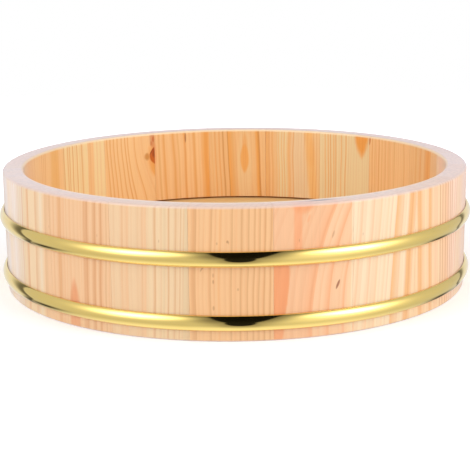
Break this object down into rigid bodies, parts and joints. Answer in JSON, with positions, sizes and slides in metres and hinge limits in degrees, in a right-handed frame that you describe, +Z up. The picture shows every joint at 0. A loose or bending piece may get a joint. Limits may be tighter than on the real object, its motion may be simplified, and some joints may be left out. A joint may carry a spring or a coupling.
{
  "type": "sushi rice tub",
  "caption": "Shallow round wooden tub of bevelled staves with a boarded floor set in a groove and domed brass hoops, for cooling and seasoning sushi rice.",
  "frame": {"origin": "centre of the foot ring, on the surface that the tub stands on", "axes": "+Z up along the tub's axis, -Y to the front of the picture, +X to its right"},
  "size_m": [0.3366, 0.3366, 0.0843],
  "materials": {
    "stave_wood": "planed pale softwood, bare, with straight and cathedral grain",
    "floor_wood": "planed pale softwood, bare",
    "bamboo": "split bamboo, whittled",
    "brass": "polished"
  },
  "bodies": {
    "root": {"stave_01": "stave_wood", "stave_02": "stave_wood", "stave_03": "stave_wood", "stave_04": "stave_wood", "stave_05": "stave_wood", "stave_06": "stave_wood", "stave_07": "stave_wood", "stave_08": "stave_wood", "stave_09": "stave_wood", "stave_10": "stave_wood", "stave_11": "stave_wood", "stave_12": "stave_wood", "stave_13": "stave_wood", "stave_14": "stave_wood", "stave_15": "stave_wood", "stave_16": "stave_wood", "stave_17": "stave_wood", "stave_18": "stave_wood", "stave_19": "stave_wood", "stave_20": "stave_wood", "floor_board_1": "floor_wood", "floor_board_2": "floor_wood", "floor_board_3": "floor_wood", "floor_board_4": "floor_wood", "floor_board_5": "floor_wood", "stave_peg_01": "bamboo", "stave_peg_02": "bamboo", "stave_peg_03": "bamboo", "stave_peg_04": "bamboo", "stave_peg_05": "bamboo", "stave_peg_06": "bamboo", "stave_peg_07": "bamboo", "stave_peg_08": "bamboo", "stave_peg_09": "bamboo", "stave_peg_10": "bamboo", "stave_peg_11": "bamboo", "stave_peg_12": "bamboo", "stave_peg_13": "bamboo", "stave_peg_14": "bamboo", "stave_peg_15": "bamboo", "stave_peg_16": "bamboo", "stave_peg_17": "bamboo", "stave_peg_18": "bamboo", "stave_peg_19": "bamboo", "stave_peg_20": "bamboo", "floor_peg_1_left": "bamboo", "floor_peg_1_right": "bamboo", "floor_peg_2_left": "bamboo", "floor_peg_2_right": "bamboo", "floor_peg_3_left": "bamboo", "floor_peg_3_right": "bamboo", "floor_peg_4_left": "bamboo", "floor_peg_4_right": "bamboo", "upper_hoop": "brass", "lower_hoop": "brass"}
  },
  "joints": []
}
